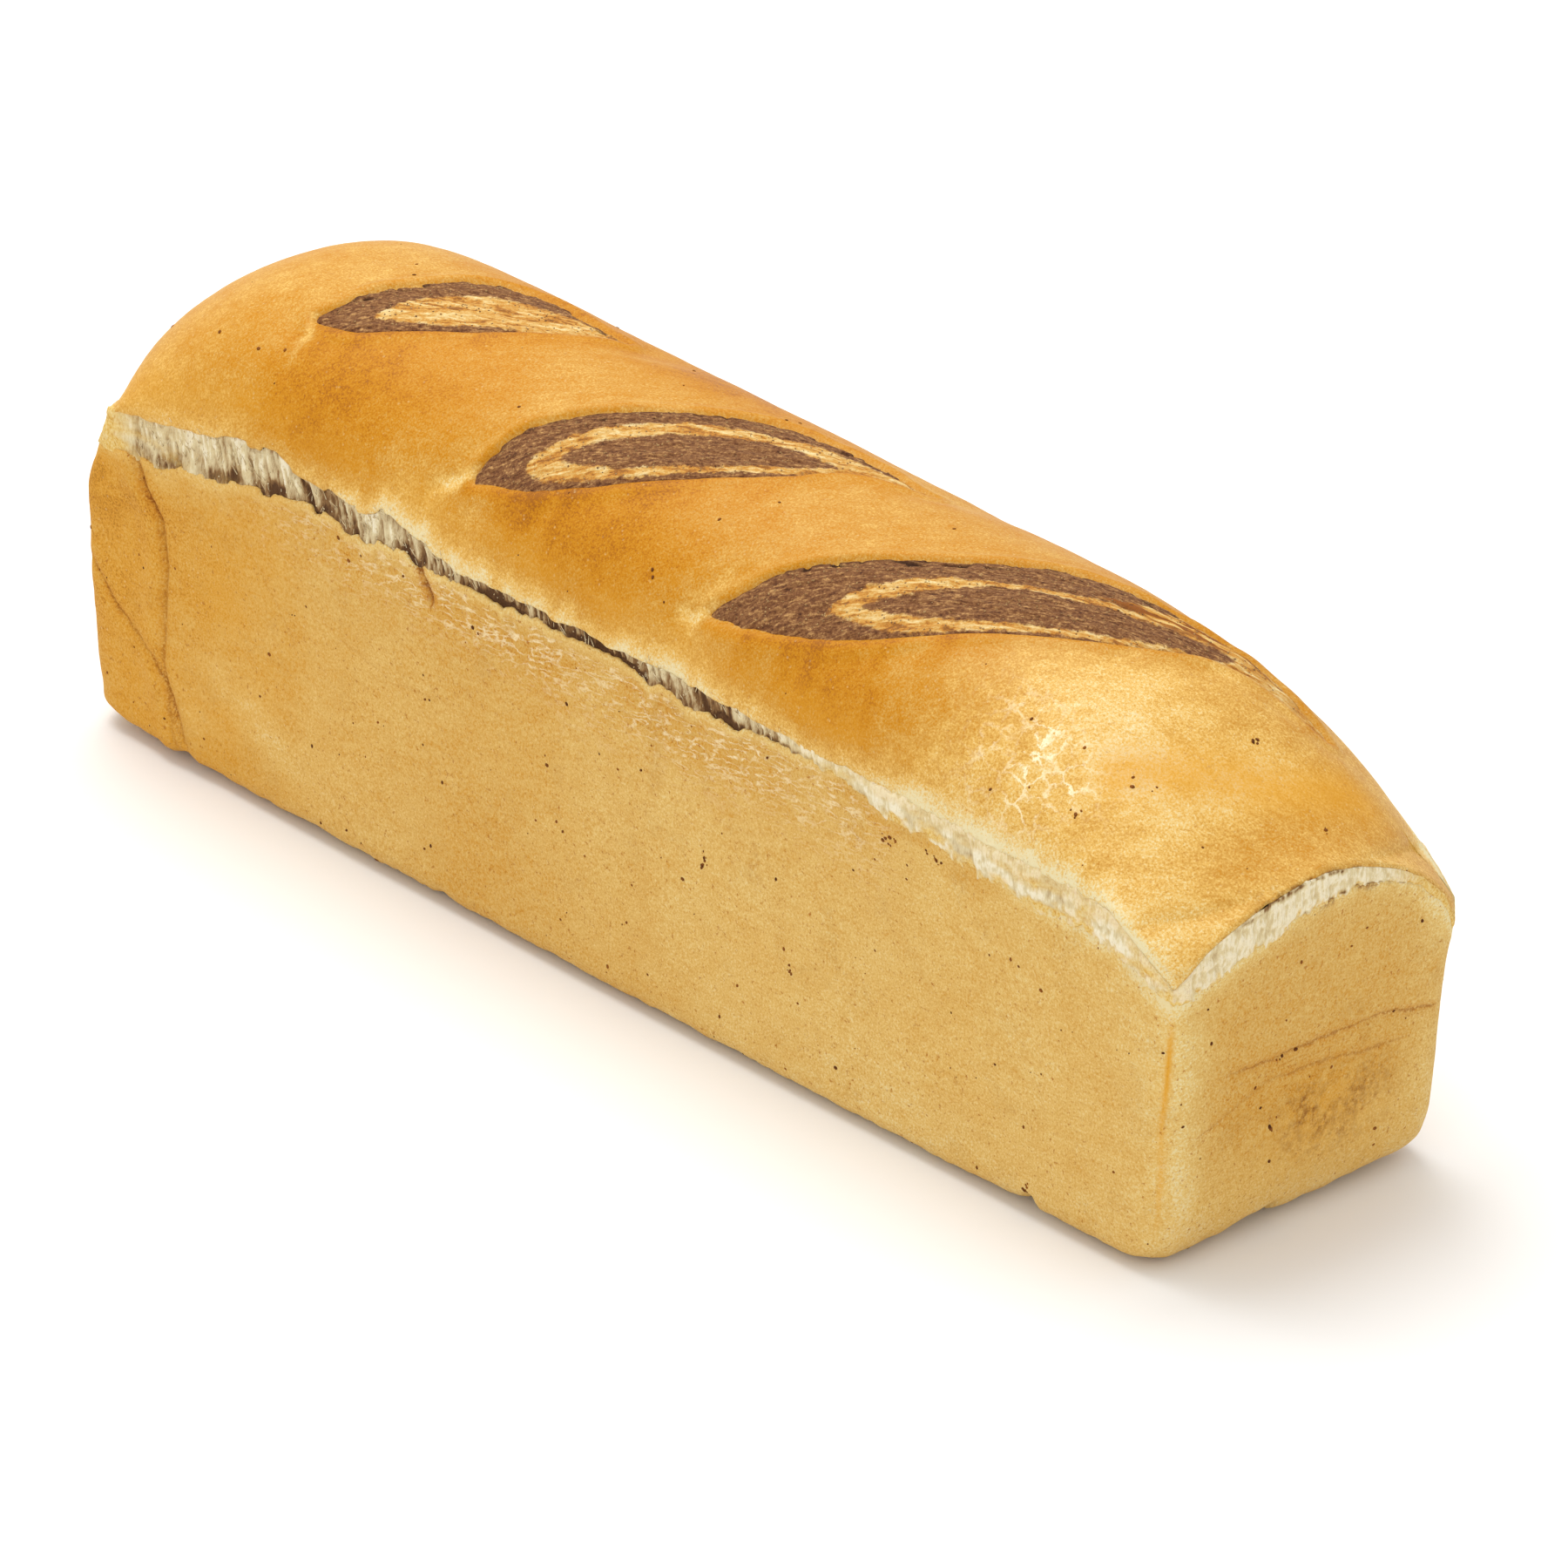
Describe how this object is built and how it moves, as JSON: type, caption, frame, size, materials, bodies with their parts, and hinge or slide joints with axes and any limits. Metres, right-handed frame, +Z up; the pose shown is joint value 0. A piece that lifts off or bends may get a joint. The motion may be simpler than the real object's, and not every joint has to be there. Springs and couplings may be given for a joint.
{
  "type": "tin loaf",
  "caption": "Long uncut tin loaf of bread with a domed, slashed top showing marbled crumb, upright tin-baked walls and a torn split under the dome.",
  "frame": {"origin": "centre of the loaf's box in plan, at the height of the base it rests on", "axes": "+X along the loaf towards its lower end, +Y across it, +Z up from the base to the dome"},
  "size_m": [0.4032, 0.0966, 0.1353],
  "materials": {
    "crust": "golden baked crust, satin on the dome and matt on the walls",
    "torn_crumb": "matt pale torn crumb",
    "marbled_crumb": "matt dark and light marbled crumb"
  },
  "bodies": {
    "root": {"loaf": "crust"}
  },
  "joints": []
}
